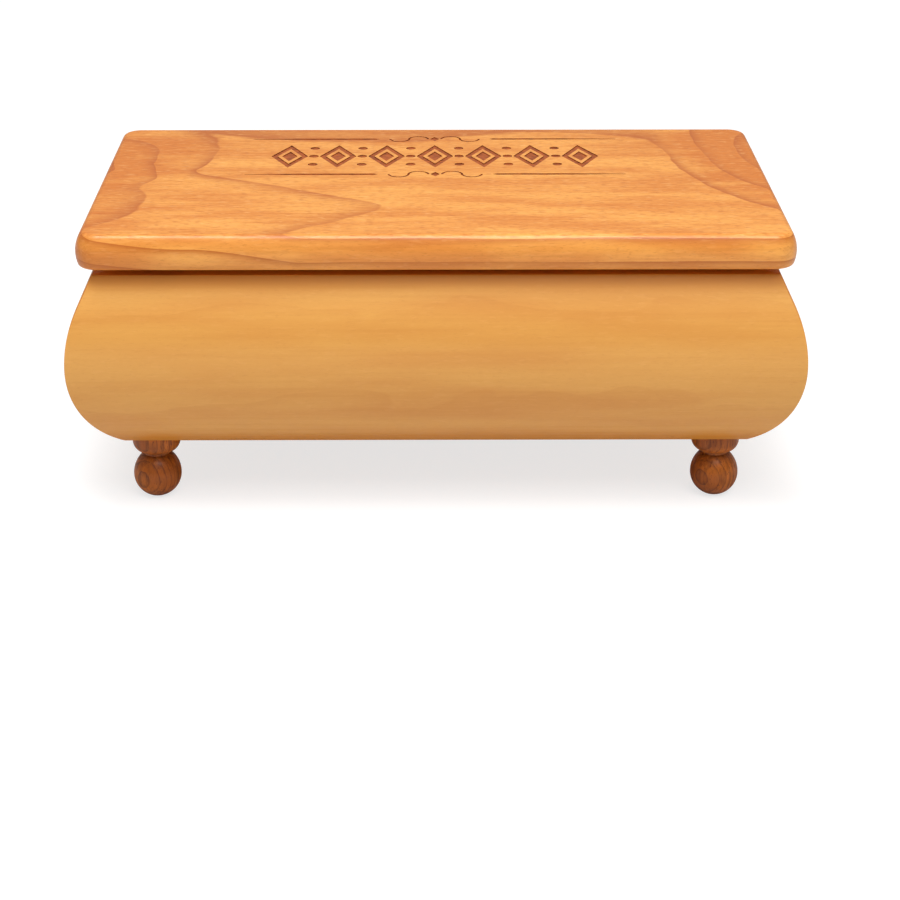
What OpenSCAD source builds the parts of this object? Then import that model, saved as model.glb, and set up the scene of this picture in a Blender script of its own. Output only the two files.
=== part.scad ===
/* [Box body] */
// Length of the body over its rim
rim_l = 228.4; // [170:0.1:320]
// Width of the body over its rim, front to back
rim_w = 127.4; // [100:0.1:200]
// Height of the side mouldings
body_h = 62.3; // [50:0.1:90]
// Width of the flat rim on top of the side mouldings
rim_t = 9.8; // [8.5:0.1:16]
// How far the side mouldings swell out past the rim
bulge = 9.05; // [5:0.05:14]
// Depth of the widest line of the swell below the rim
bulge_drop = 30.3; // [24:0.1:36]
// Length of the straight slope between the rim and the swell
slope_run = 9.75; // [4:0.05:16]
// How far the foot of the mouldings lies inside the widest line
under_in = 16.7; // [10:0.1:18]
// Thickness of the bottom board
board_t = 8; // [6:0.1:12]

/* [Lid] */
// Thickness of the lid board
lid_t = 12; // [8:0.1:18]
// How far the lid reaches past the rim on every side
lid_overhang = 5.2; // [3.6:0.1:8]
// Radius of the lid's corners seen from above
lid_corner_r = 8; // [5:0.1:15]
// Radius of the gentle swell of the lid's edge
lid_edge_r = 12.3; // [11:0.1:40]
// Depth of the widest line of the lid's edge below its top
lid_edge_drop = 7; // [5.5:0.1:8]
// Radius of the rounded upper edge of the lid
lid_top_round = 2.5; // [1:0.1:3]
// Radius of the rounded lower edge of the lid
lid_under_round = 1.5; // [0.5:0.1:3]
// Gap between the rim and the closed lid
lid_gap = 2.8; // [2.8:0.05:4]

/* [Engraving] */
// Length of the engraved band of lozenges
band_l = 124; // [80:1:150]
// Height of the engraved lozenges
band_h = 30; // [16:0.5:36]
// Number of lozenges in the band
band_count = 7; // [3:1:11]
// Distance of the band's middle behind the lid's middle
band_back = 28.4; // [10:0.1:32]
// Distance of each engraved rule from the band's middle
rule_off = 23.7; // [19:0.1:27]
// Length over both halves of an engraved rule
rule_l = 136; // [100:1:160]
// Width of the engraved lines
line_w = 1.6; // [0.8:0.1:2.4]
// Depth of the engraving
engrave_d = 0.4; // [0.2:0.05:1]

/* [Feet] */
// Height of a foot
foot_h = 23.8; // [21:0.1:32]
// Radius of the ball of a foot
ball_r = 8.25; // [6:0.05:8.5]
// Height of the band round the ball where its side is straight
ball_band = 0.9; // [0.3:0.1:2]
// Depth by which the ball is cut flat underneath
ball_flat = 0.25; // [0.1:0.05:1]
// Radius of the neck of a foot
neck_r = 4.6; // [3.5:0.1:5.5]
// Height of the neck's upper end above the floor
neck_z = 16.4; // [15.5:0.1:18.5]
// Height of the bowl under the collar
bowl_h = 4; // [3.6:0.1:5]
// Radius of the collar of a foot
collar_r = 8.25; // [7:0.05:10]
// Distance of a foot's axis from the inner faces of the body
foot_inset = 7.6; // [6:0.1:12]
// Diameter of the foot screws
foot_screw_d = 3; // [2.5:0.1:4]
// Length of the foot screws
foot_screw_l = 20; // [16:0.5:22]
// Diameter of the foot screws' heads
foot_head_d = 6; // [5.4:0.1:7]

/* [Lining] */
// Thickness of the felt-covered card on the floor
floor_lining_t = 1.5; // [1:0.1:3]
// Thickness of the felt-covered cards on the walls
wall_lining_t = 1.2; // [0.8:0.1:2.5]
// Depth of the wall cards' upper edge below the rim
lining_drop = 1; // [0.5:0.1:4]

/* [Hinges] */
// Length of a hinge
hinge_l = 38; // [25:0.5:50]
// Distance of a hinge's middle from the end of the rim
hinge_in = 55.8; // [36:0.1:80]
// Width of a leaf from the pin to its free edge
leaf_w = 12.7; // [10.5:0.1:16]
// Thickness of a leaf
leaf_t = 0.75; // [0.6:0.05:0.8]
// Radius of the leaf's free corners
leaf_corner_r = 3.2; // [1:0.1:4]
// Outer diameter of the knuckles
knuckle_d = 2.6; // [2.4:0.05:2.7]
// Diameter of the hinge pin
pin_d = 1.1; // [0.9:0.05:1.2]
// Length of the middle knuckle, on the lid's leaf
mid_knuckle_l = 14; // [8:0.5:20]
// Distance of the hinge pin behind the rim
axis_out = 0.6; // [0.2:0.05:1.5]
// Distance of the hinge screws inside the rim's rear edge
hinge_screw_in = 6; // [5:0.1:6.5]
// Distance of a hinge screw from the leaf's end
hinge_screw_end = 6; // [4.5:0.1:9]
// Diameter of the hinge screws
hinge_screw_d = 1.8; // [1.4:0.1:2.2]
// Diameter of the hinge screws' heads
hinge_head_d = 3.8; // [3:0.1:4.2]
// Length of the hinge screws
hinge_screw_l = 8; // [6:0.5:9]

/* [Lid rests] */
// Diameter of the two pegs that the lid rests on
peg_d = 3.6; // [2.5:0.1:5]
// Depth of the pegs in the rim
peg_depth = 6; // [3:0.5:10]
// Distance of the pegs behind the front wall's inner face
peg_back = 6.3; // [3:0.1:20]

/* [Fits] */
// Clearance round screws and pins, on the radius
fit_gap = 0.05; // [0.02:0.01:0.1]
// Clearance between the ends of the knuckles
knuckle_gap = 0.15; // [0.1:0.01:0.4]
// Clearance of the leaf's notch round the other leaf's knuckle
notch_gap = 0.3; // [0.2:0.05:0.6]
// Clearance between the lid and the pegs
rest_gap = 0.1; // [0.05:0.01:0.3]
// Clearance at the ends of the lining cards
lining_gap = 0.1; // [0.05:0.01:0.5]

/* [Hidden] */
$fn = 72;

wood = "#e2a25c";
dark_wood = "#8a4a22";
brass = "#d9b24a";
felt = "#a63c12";
steel = "#b8bcc2";

// Margin by which a cut passes the surface that it leaves
past = 1;

// Levels: the floor is at zero
body_z = foot_h;
rim_z = body_z + body_h;
lid_z = rim_z + lid_gap;
floor_z = body_z + board_t + floor_lining_t;

// Inner faces of the body, and the lid's outline
room_l = rim_l - 2 * rim_t;
room_w = rim_w - 2 * rim_t;
lid_l = rim_l + 2 * lid_overhang;
lid_w = rim_w + 2 * lid_overhang;

// Arcs of the swell: the upper one meets the straight slope, both meet at the widest line
upper_r = (bulge * bulge + bulge_drop * bulge_drop - slope_run * slope_run) / (2 * bulge);
under_drop = body_h - bulge_drop;
lower_r = (under_drop * under_drop + under_in * under_in) / (2 * under_in);
slope_angle = atan2(bulge_drop, upper_r - bulge) - acos(upper_r / norm([upper_r - bulge, bulge_drop]));
slope_end = [bulge - upper_r + upper_r * cos(slope_angle), upper_r * sin(slope_angle) - bulge_drop];

// Hinges: their places along the box, their pins, and the screws in each leaf
hinge_x = rim_l / 2 - hinge_in;
axis_y = rim_w / 2 + axis_out;
axis_z = rim_z + lid_gap / 2;
hinge_screw_x = hinge_l / 2 - hinge_screw_end;
hinge_screw_y = rim_w / 2 - hinge_screw_in;
hinge_head_rise = 0.4;
hinge_slot_w = 0.5;
hinge_slot_d = 0.35;

// Feet
foot_x = room_l / 2 - foot_inset;
foot_y = room_w / 2 - foot_inset;
foot_head_h = (foot_head_d - foot_screw_d) / 2;
ball_z = ball_r - ball_flat;
bowl_reach = collar_r - neck_r + 0.4;
bowl_r = (bowl_reach * bowl_reach + bowl_h * bowl_h) / (2 * bowl_reach);
foot_spots = [[-foot_x, -foot_y], [foot_x, -foot_y], [-foot_x, foot_y], [foot_x, foot_y]];

// Lid rests
peg_x = rim_l / 2 - rim_t / 2;
peg_y = -room_w / 2 + peg_back;

// Section of a side moulding in three pieces that stand on each other: x runs outwards from
// the rim's outer edge, y upwards from the rim
module slope_section() {
    lap = slope_end[1] - past;
    polygon([[-rim_t, lap], [-rim_t, 0], [0, 0], slope_end, [slope_end[0], lap]]);
}

module upper_section() {
    intersection() {
        translate([bulge - upper_r, -bulge_drop]) circle(upper_r);
        translate([-rim_t, -bulge_drop]) square([rim_t + bulge + past, slope_end[1] + bulge_drop]);
    }
}

module lower_section() {
    intersection() {
        translate([bulge - lower_r, -bulge_drop]) circle(lower_r);
        translate([-rim_t, -body_h]) square([rim_t + bulge + past, under_drop]);
    }
}

// A section drawn out along x at the front of the body
module drawn_out(half_l, span_w) {
    translate([half_l, -span_w / 2, rim_z]) rotate([90, 0, -90])
        linear_extrude(height = 2 * half_l) children();
}

// One moulding at the front, run_l long over the rim, mitred at both ends. The opposite
// pair of mouldings is span_w apart over the rim.
module side_bar(run_l, span_w) {
    half_l = run_l / 2 + bulge + past;
    behind = rim_t + past;
    intersection() {
        union() {
            drawn_out(half_l, span_w) slope_section();
            drawn_out(half_l, span_w) upper_section();
            drawn_out(half_l, span_w) lower_section();
        }
        translate([0, -span_w / 2, body_z - past]) linear_extrude(height = body_h + 2 * past)
            polygon([[-half_l, -bulge - past], [half_l, -bulge - past],
                     [run_l / 2 - behind, behind], [behind - run_l / 2, behind]]);
    }
}

module front_side() {
    color(wood) side_bar(rim_l, rim_w);
}

module rear_side() {
    color(wood) difference() {
        rotate([0, 0, 180]) side_bar(rim_l, rim_w);
        for (side = [-1, 1]) translate([0, 0, rim_z]) hinge_pilots(side);
    }
}

// The left and right mouldings hold the pegs for the lid
module end_side(side) {
    color(wood) difference() {
        rotate([0, 0, side * 90]) side_bar(rim_w, rim_l);
        translate([side * peg_x, peg_y, rim_z - peg_depth])
            cylinder(h = peg_depth + past, r = peg_d / 2 + fit_gap);
    }
}

module left_side() {
    end_side(-1);
}

module right_side() {
    end_side(1);
}

// Board glued between the mouldings, flush with their lower edges
module bottom_board() {
    color(wood) difference() {
        translate([-room_l / 2, -room_w / 2, body_z]) cube([room_l, room_w, board_t]);
        for (spot = foot_spots) translate([spot[0], spot[1], body_z]) {
            translate([0, 0, -past]) cylinder(h = board_t + 2 * past, r = foot_screw_d / 2 + fit_gap);
            translate([0, 0, board_t - foot_head_h])
                cylinder(h = foot_head_h, r1 = foot_screw_d / 2 + fit_gap, r2 = foot_head_d / 2 + fit_gap);
        }
    }
}

// Half of a foot's section: a ball with a straight band, a neck, then a bowl under a collar
module foot_section() {
    intersection() {
        translate([0, ball_z]) circle(ball_r);
        square([ball_r + past, ball_z]);
    }
    translate([0, ball_z]) square([ball_r, ball_band]);
    translate([0, ball_z + ball_band]) intersection() {
        circle(ball_r);
        square([ball_r + past, ball_r + past]);
    }
    translate([0, ball_z]) square([neck_r, neck_z - ball_z]);
    translate([0, neck_z]) square([collar_r - bowl_r, bowl_h]);
    translate([0, neck_z]) intersection() {
        translate([collar_r - bowl_r, bowl_h]) circle(bowl_r);
        square([collar_r + past, bowl_h]);
    }
    translate([0, neck_z + bowl_h]) square([collar_r, foot_h - neck_z - bowl_h]);
}

module foot(spot) {
    hole_depth = foot_screw_l - board_t + past;
    color(dark_wood) translate([spot[0], spot[1], 0]) difference() {
        rotate_extrude() foot_section();
        translate([0, 0, foot_h - hole_depth])
            cylinder(h = hole_depth + past, r = foot_screw_d / 2 + fit_gap);
    }
}

module foot_front_left() {
    foot(foot_spots[0]);
}

module foot_front_right() {
    foot(foot_spots[1]);
}

module foot_rear_left() {
    foot(foot_spots[2]);
}

module foot_rear_right() {
    foot(foot_spots[3]);
}

// A wood screw pointing down, with the top of its cone at zero
module wood_screw(screw_d, head_d, head_h, screw_l) {
    point_l = 1.2 * screw_d;
    translate([0, 0, -head_h]) cylinder(h = head_h, r1 = screw_d / 2, r2 = head_d / 2);
    translate([0, 0, point_l - screw_l]) cylinder(h = screw_l - point_l - head_h, r = screw_d / 2);
    translate([0, 0, -screw_l]) cylinder(h = point_l, r1 = 0.2, r2 = screw_d / 2);
}

module foot_screws() {
    slot_w = 0.8;
    slot_d = 0.7;
    color(steel) for (spot = foot_spots) translate([spot[0], spot[1], body_z + board_t]) difference() {
        wood_screw(foot_screw_d, foot_head_d, foot_head_h, foot_screw_l);
        translate([-foot_head_d / 2, -slot_w / 2, -slot_d]) cube([foot_head_d, slot_w, slot_d + past]);
    }
}

module floor_lining() {
    color(felt) translate([-room_l / 2 + lining_gap, -room_w / 2 + lining_gap, body_z + board_t])
        cube([room_l - 2 * lining_gap, room_w - 2 * lining_gap, floor_lining_t]);
}

// A card on the front or rear wall, over the whole length of the room
module long_lining(side) {
    middle = side * (room_w - wall_lining_t) / 2;
    color(felt) translate([-room_l / 2 + lining_gap, middle - wall_lining_t / 2, floor_z])
        cube([room_l - 2 * lining_gap, wall_lining_t, rim_z - lining_drop - floor_z]);
}

// A card on the left or right wall, between the two long ones
module short_lining(side) {
    span = room_w - 2 * wall_lining_t - 2 * lining_gap;
    middle = side * (room_l - wall_lining_t) / 2;
    color(felt) translate([middle - wall_lining_t / 2, -span / 2, floor_z])
        cube([wall_lining_t, span, rim_z - lining_drop - floor_z]);
}

module front_lining() {
    long_lining(-1);
}

module rear_lining() {
    long_lining(1);
}

module left_lining() {
    short_lining(-1);
}

module right_lining() {
    short_lining(1);
}

// Outline of a leaf: the pin lies along x, the free edge has round corners
module leaf_outline() {
    translate([-hinge_l / 2, 0]) square([hinge_l, leaf_w - leaf_corner_r]);
    translate([leaf_corner_r - hinge_l / 2, 0]) square([hinge_l - 2 * leaf_corner_r, leaf_w]);
    for (end = [-1, 1]) translate([end * (hinge_l / 2 - leaf_corner_r), leaf_w - leaf_corner_r])
        circle(leaf_corner_r);
}

// One leaf lying on the wood at zero. own lists the spans of its knuckles, other the spans
// of the other leaf's knuckles.
module leaf(own, other) {
    screw_y = hinge_screw_in + axis_out;
    notch = knuckle_d / 2 + notch_gap;
    color(brass) difference() {
        union() {
            linear_extrude(height = leaf_t) difference() {
                leaf_outline();
                for (span = other) translate([span[0] - knuckle_gap, -past])
                    square([span[1] - span[0] + 2 * knuckle_gap, notch + past]);
            }
            for (span = own) translate([span[0], 0, lid_gap / 2]) rotate([0, 90, 0])
                cylinder(h = span[1] - span[0], r = knuckle_d / 2);
        }
        translate([-hinge_l / 2 - past, 0, lid_gap / 2]) rotate([0, 90, 0])
            cylinder(h = hinge_l + 2 * past, r = pin_d / 2 + fit_gap);
        for (end = [-1, 1]) translate([end * hinge_screw_x, screw_y, 0])
            cylinder(h = leaf_t, r1 = hinge_screw_d / 2 + fit_gap, r2 = hinge_head_d / 2 + fit_gap);
    }
}

mid_spans = [[-mid_knuckle_l / 2 + knuckle_gap, mid_knuckle_l / 2 - knuckle_gap]];
end_spans = [[-hinge_l / 2, -mid_knuckle_l / 2], [mid_knuckle_l / 2, hinge_l / 2]];

module base_leaf(side) {
    translate([side * hinge_x, axis_y, rim_z]) mirror([0, 1, 0]) leaf(end_spans, mid_spans);
}

module lid_leaf(side) {
    translate([side * hinge_x, axis_y, lid_z]) rotate([180, 0, 0]) leaf(mid_spans, end_spans);
}

module hinge_left_base_leaf() {
    base_leaf(-1);
}

module hinge_right_base_leaf() {
    base_leaf(1);
}

module hinge_left_lid_leaf() {
    lid_leaf(-1);
}

module hinge_right_lid_leaf() {
    lid_leaf(1);
}

module hinge_pin(side) {
    color(brass) translate([side * hinge_x - hinge_l / 2, axis_y, axis_z]) rotate([0, 90, 0])
        cylinder(h = hinge_l, r = pin_d / 2);
}

module hinge_left_pin() {
    hinge_pin(-1);
}

module hinge_right_pin() {
    hinge_pin(1);
}

// Holes in the wood for the screws of one leaf, drilled down from zero
module hinge_pilots(side) {
    depth = hinge_screw_l - leaf_t + 0.3;
    for (end = [-1, 1]) translate([side * hinge_x + end * hinge_screw_x, hinge_screw_y, -depth])
        cylinder(h = depth + past, r = hinge_screw_d / 2 + fit_gap);
}

// The two screws of one leaf, pointing down, with a domed and slotted head. turn gives the
// angle at which each slot came to rest.
module leaf_screws(side, turn) {
    dome_r = (hinge_head_d * hinge_head_d / 4 + hinge_head_rise * hinge_head_rise) / (2 * hinge_head_rise);
    color(brass) for (end = [0, 1])
        translate([side * hinge_x + (2 * end - 1) * hinge_screw_x, hinge_screw_y, leaf_t]) difference() {
            union() {
                wood_screw(hinge_screw_d, hinge_head_d, leaf_t, hinge_screw_l);
                intersection() {
                    translate([0, 0, hinge_head_rise - dome_r]) sphere(dome_r);
                    cylinder(h = hinge_head_rise + past, r = hinge_head_d / 2);
                }
            }
            rotate([0, 0, turn[end]]) translate([0, 0, hinge_head_rise + (past - hinge_slot_d) / 2])
                cube([hinge_head_d + 2 * past, hinge_slot_w, hinge_slot_d + past], center = true);
        }
}

module hinge_left_base_screws() {
    translate([0, 0, rim_z]) leaf_screws(-1, [20, 75]);
}

module hinge_right_base_screws() {
    translate([0, 0, rim_z]) leaf_screws(1, [140, 40]);
}

module hinge_left_lid_screws() {
    translate([0, 0, lid_z]) mirror([0, 0, 1]) leaf_screws(-1, [60, 160]);
}

module hinge_right_lid_screws() {
    translate([0, 0, lid_z]) mirror([0, 0, 1]) leaf_screws(1, [95, 10]);
}

// A peg stands in the rim and carries the closed lid
module rest_peg(side) {
    color(dark_wood) translate([side * peg_x, peg_y, rim_z - peg_depth])
        cylinder(h = peg_depth + lid_gap - rest_gap, r = peg_d / 2);
}

module rest_peg_left() {
    rest_peg(-1);
}

module rest_peg_right() {
    rest_peg(1);
}

// Points along an arc, in whole thousandths so that the lid's runs and corners meet
function arc_points(middle, r, first, last, steps) =
    [for (i = [0 : steps]) let (turn = first + (last - first) * i / steps)
        [round(1000 * (middle[0] + r * cos(turn))), round(1000 * (middle[1] + r * sin(turn)))] / 1000];

// Half of the lid's section, from its middle out to its edge at reach: the swell of the edge
// runs over into a round at the top and one at the bottom
module lid_edge(reach) {
    edge_z = lid_t - lid_edge_drop;
    top_rise = lid_edge_drop - lid_top_round;
    under_rise = edge_z - lid_under_round;
    top_run = lid_edge_r - lid_top_round;
    under_run = lid_edge_r - lid_under_round;
    top_turn = asin(top_rise / top_run);
    under_turn = -asin(under_rise / under_run);
    swell_x = reach - lid_edge_r;
    top_middle = [swell_x + top_run * cos(top_turn), lid_t - lid_top_round];
    under_middle = [swell_x + under_run * cos(under_turn), lid_under_round];
    polygon(concat(
        [[0, 0]],
        arc_points(under_middle, lid_under_round, -90, under_turn, 5),
        arc_points([swell_x, edge_z], lid_edge_r, under_turn, top_turn, 8),
        arc_points(top_middle, lid_top_round, top_turn, 90, 5),
        [[0, lid_t]]));
}

// The lid's section drawn out along x over run_l
module lid_run(run_l, across) {
    rotate([90, 0, 90]) linear_extrude(height = run_l, center = true) {
        lid_edge(across / 2);
        mirror([1, 0]) lid_edge(across / 2);
    }
}

module lid_board() {
    run_l = lid_l - 2 * lid_corner_r;
    run_w = lid_w - 2 * lid_corner_r;
    lid_run(run_l, lid_w);
    rotate([0, 0, 90]) lid_run(run_w, lid_l);
    for (x = [-1, 1], y = [-1, 1]) translate([x * run_l / 2, y * run_w / 2, 0])
        rotate_extrude() lid_edge(lid_corner_r);
}

module lozenge(w, h) {
    polygon([[w / 2, 0], [0, h / 2], [-w / 2, 0], [0, -h / 2]]);
}

// Lozenges with a solid heart, and three dots between each two
module band() {
    pitch = band_l / band_count;
    lozenge_w = 0.76 * pitch;
    dot_r = 0.1 * pitch;
    for (i = [0 : band_count - 1]) translate([(i - (band_count - 1) / 2) * pitch, 0]) {
        difference() {
            lozenge(lozenge_w, band_h);
            lozenge(0.66 * lozenge_w, 0.66 * band_h);
        }
        lozenge(0.42 * lozenge_w, 0.42 * band_h);
    }
    for (i = [1 : band_count - 1], row = [-1, 0, 1])
        translate([(i - band_count / 2) * pitch, row * 0.36 * band_h]) circle(dot_r);
}

// Half a ring, above the x axis
module arch(r) {
    intersection() {
        difference() {
            circle(r + line_w / 4);
            circle(r - line_w / 4);
        }
        translate([-r - line_w, 0]) square([2 * (r + line_w), r + line_w]);
    }
}

// A rule that swells in the middle of each half, broken by a small wave and lozenge
module rule() {
    inner = 0.15 * rule_l;
    outer = rule_l / 2;
    crest = 0.45 * inner + 0.55 * outer;
    wave_r = 0.026 * rule_l;
    lozenge(0.5 * wave_r + line_w, 1.6 * wave_r);
    for (end = [0, 1]) mirror([end, 0]) {
        polygon([[inner, 0], [inner + line_w, line_w / 2], [crest, line_w / 2], [outer, line_w / 8],
                 [outer, -line_w / 8], [crest, -line_w / 2], [inner + line_w, -line_w / 2]]);
        translate([1.7 * wave_r, 0]) arch(wave_r);
        translate([3.7 * wave_r, 0]) mirror([0, 1]) arch(wave_r);
    }
}

module lid_panel() {
    color(wood) difference() {
        translate([0, 0, lid_z]) lid_board();
        translate([0, band_back, lid_z + lid_t - engrave_d]) linear_extrude(height = engrave_d + past) {
            band();
            for (side = [-1, 1]) translate([0, side * rule_off]) rule();
        }
        for (side = [-1, 1]) translate([0, 0, lid_z]) mirror([0, 0, 1]) hinge_pilots(side);
    }
}

front_side();
rear_side();
left_side();
right_side();
bottom_board();
foot_front_left();
foot_front_right();
foot_rear_left();
foot_rear_right();
foot_screws();
floor_lining();
front_lining();
rear_lining();
left_lining();
right_lining();
hinge_left_base_leaf();
hinge_right_base_leaf();
hinge_left_pin();
hinge_right_pin();
hinge_left_base_screws();
hinge_right_base_screws();
rest_peg_left();
rest_peg_right();
lid_panel();
hinge_left_lid_leaf();
hinge_right_lid_leaf();
hinge_left_lid_screws();
hinge_right_lid_screws();
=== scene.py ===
"""A keepsake box: its visible pieces and finishes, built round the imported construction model."""

import logging
import math
from dataclasses import dataclass, replace
from enum import Enum

import bmesh
import bpy
from mathutils import Euler, Matrix, Vector, noise


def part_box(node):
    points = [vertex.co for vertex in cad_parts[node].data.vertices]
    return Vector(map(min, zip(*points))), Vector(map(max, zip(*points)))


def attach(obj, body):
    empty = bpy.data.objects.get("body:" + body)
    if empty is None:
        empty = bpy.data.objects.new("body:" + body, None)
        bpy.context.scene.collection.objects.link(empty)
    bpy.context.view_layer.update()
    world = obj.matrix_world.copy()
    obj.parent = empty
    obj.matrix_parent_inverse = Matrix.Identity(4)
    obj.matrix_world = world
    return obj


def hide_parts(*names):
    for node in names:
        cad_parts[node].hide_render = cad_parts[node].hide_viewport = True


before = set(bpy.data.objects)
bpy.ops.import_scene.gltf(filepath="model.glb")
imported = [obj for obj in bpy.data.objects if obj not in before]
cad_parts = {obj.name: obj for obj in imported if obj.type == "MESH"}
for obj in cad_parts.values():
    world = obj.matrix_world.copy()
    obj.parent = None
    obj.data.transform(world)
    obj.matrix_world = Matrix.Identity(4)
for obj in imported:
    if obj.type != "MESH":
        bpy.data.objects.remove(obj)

log = logging.getLogger("keepsake_box")

MM = 0.001
Point = tuple[float, float]
Spot = tuple[float, float, float]
Socket = bpy.types.NodeSocket
Material = bpy.types.Material
Mesh = bpy.types.Mesh
Finishes = dict[str, Material]
Feed = Socket | float | int | tuple | Vector | Material


def linear(colour: str) -> tuple[float, float, float, float]:
    """Turns an sRGB hex colour into Blender's linear colour.

    Args:
        colour: Six hex digits after a hash mark.

    Returns:
        Red, green, blue and an alpha of one.
    """
    parts = [int(colour[i : i + 2], 16) / 255 for i in (1, 3, 5)]
    red, green, blue = (c / 12.92 if c <= 0.04045 else ((c + 0.055) / 1.055) ** 2.4 for c in parts)
    return red, green, blue, 1.0


class Pen:
    """Writes one node tree. All its nodes go through add."""

    def __init__(self, tree: bpy.types.NodeTree) -> None:
        """Takes up the tree.

        Args:
            tree: The tree that gets the nodes.
        """
        self.tree = tree

    def add(
        self,
        kind: str,
        feeds: dict[str | int, Feed] | None = None,
        out: str | int = 0,
        **settings: object,
    ) -> Socket:
        """Adds one node with its settings and links.

        Args:
            kind: Blender's name for the kind of node.
            feeds: What goes into its inputs: a socket is linked, anything else is set.
            out: Which output to hand back.
            **settings: The node's own properties.

        Returns:
            The chosen output, or the node's first input if it has no outputs.
        """
        node = self.tree.nodes.new(kind)
        for name, value in settings.items():
            setattr(node, name, value)
        for key, value in (feeds or {}).items():
            socket = node.inputs[key]
            if isinstance(value, Socket):
                self.tree.links.new(value, socket)
            else:
                socket.default_value = value
        return node.outputs[out] if node.outputs else node.inputs[0]

    def math(self, operation: str, *values: Feed, clamp: bool = False) -> Socket:
        """Works out a number.

        Args:
            operation: Blender's name for the operation.
            *values: What it works on.
            clamp: Whether the result is held between zero and one.

        Returns:
            The result.
        """
        feeds = dict(enumerate(values))
        return self.add("ShaderNodeMath", feeds, operation=operation, use_clamp=clamp)

    def vector(self, operation: str, *values: Feed) -> Socket:
        """Works out a vector, or a number for a dot product or a length.

        Args:
            operation: Blender's name for the operation.
            *values: What it works on.

        Returns:
            The result.
        """
        out = "Value" if operation in ("DOT_PRODUCT", "LENGTH") else "Vector"
        return self.add("ShaderNodeVectorMath", dict(enumerate(values)), out, operation=operation)

    def ramp(
        self, value: Feed, span: Point, to: Point = (0.0, 1.0), smooth: bool = False
    ) -> Socket:
        """Carries a span of values over to another one, and holds both ends.

        Args:
            value: The value.
            span: Where the ramp starts and ends.
            to: What it gives there.
            smooth: Whether it eases in and out.

        Returns:
            The result.
        """
        feeds = {"Value": value, "From Min": span[0], "From Max": span[1]}
        feeds |= {"To Min": to[0], "To Max": to[1]}
        kind = "SMOOTHSTEP" if smooth else "LINEAR"
        return self.add("ShaderNodeMapRange", feeds, interpolation_type=kind)

    def noise(self, place: Socket, scale: float, detail: float, **more: float) -> Socket:
        """Adds cloudy noise.

        Args:
            place: Where it is looked up.
            scale: How many clouds there are for each unit.
            detail: How much finer noise is laid over it.
            **more: Other inputs of the node.

        Returns:
            Its value, near a half on the whole.
        """
        feeds = {"Vector": place, "Scale": scale, "Detail": detail, **more}
        return self.add("ShaderNodeTexNoise", feeds)

    def toned(self, colour: Feed, amount: Feed, tint: str, share: float = 1.0) -> Socket:
        """Mixes a tint into a colour where a pattern shows.

        Args:
            colour: The colour so far.
            amount: The pattern, from zero to one.
            tint: The hex colour that it brings.
            share: How strongly it shows.

        Returns:
            The mixed colour.
        """
        if share < 1.0:
            amount = self.math("MULTIPLY", amount, share, clamp=True)
        feeds = {0: amount, 6: colour, 7: linear(tint)}
        return self.add("ShaderNodeMix", feeds, 2, data_type="RGBA")

    def in_mm(self) -> Socket:
        """Looks up the place on the box, which is the same for every mesh.

        Returns:
            The place in mm.
        """
        return self.vector("MULTIPLY", self.add("ShaderNodeTexCoord", out="Object"), (1 / MM,) * 3)

    def principled(
        self, colour: Socket, roughness: Feed, height: Socket, bump: Point, **more: Feed
    ) -> None:
        """Adds the surface and the material's output.

        Args:
            colour: The base colour.
            roughness: The roughness.
            height: The relief that shows as bumps.
            bump: How strongly it shows, and its depth in mm.
            **more: Other inputs, with underscores for spaces.
        """
        strength, depth = bump
        feeds = {"Height": height, "Strength": strength, "Distance": depth * MM}
        normal = self.add("ShaderNodeBump", feeds)
        feeds = {"Base Color": colour, "Roughness": roughness, "Normal": normal}
        feeds |= {key.replace("_", " "): value for key, value in more.items()}
        shader = self.add("ShaderNodeBsdfPrincipled", feeds)
        self.add("ShaderNodeOutputMaterial", {"Surface": shader})


@dataclass(frozen=True)
class Finish:
    """A finish under its plain name."""

    name: str

    def material(self) -> Material:
        """Builds the material.

        Returns:
            The finished material.
        """
        made = bpy.data.materials.new(self.name)
        made.use_nodes = True
        made.node_tree.nodes.clear()
        self.draw(Pen(made.node_tree))
        return made

    def draw(self, pen: Pen) -> None:
        """Draws the finish; each kind has its own way.

        Args:
            pen: Writes the material.
        """
        raise NotImplementedError


class Grain(Enum):
    """How the fibres of a piece of wood run in the box, as the turn that brings them onto x."""

    LENGTHWISE = (0.0, 0.0, 0.0)
    CROSSWISE = (0.0, 0.0, math.pi / 2)
    UPRIGHT = (0.0, math.pi / 2, 0.0)


@dataclass(frozen=True)
class Tongue:
    """A pointed figure in flat-sawn wood, where the growth lines close in a tip.

    tip is the point on the board in mm, heading the way that the figure opens in degrees,
    spread how far it runs along for each mm across, skew its lean to one side, blunt the
    roundness of its tip in mm, depth how far inside the figure the rings still change, in mm,
    and rings by how many. soft_in and soft_out ease the start and the end of that change.
    """

    tip: Point
    heading: float
    spread: float
    skew: float
    blunt: float
    depth: float
    rings: float
    warmth: float = 0.0
    soft_in: float = 0.1
    soft_out: float = 0.3

    def height(self, pen: Pen, board: Socket) -> Socket:
        """How far a place lies inside the figure.

        Args:
            pen: Writes the material.
            board: The place on the board in mm, fibres along x.

        Returns:
            A value from zero outside to one deep inside.
        """
        local = turned_to(pen, board, self.tip, self.heading)
        across = pen.vector("MULTIPLY", local, (0.0, self.spread, 0.0))
        beside = pen.vector("ADD", across, (0.0, 0.0, self.blunt))
        reach = pen.vector("LENGTH", beside)
        along = pen.vector("DOT_PRODUCT", local, (1.0, self.skew, 0.0))
        inside = pen.math("SUBTRACT", along, reach)
        share = pen.math("MULTIPLY_ADD", inside, 1 / self.depth, self.blunt / self.depth)
        held = pen.math("SMOOTH_MAX", share, 0.0, self.soft_in)
        return pen.math("SMOOTH_MIN", held, 1.0, self.soft_out)


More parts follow.
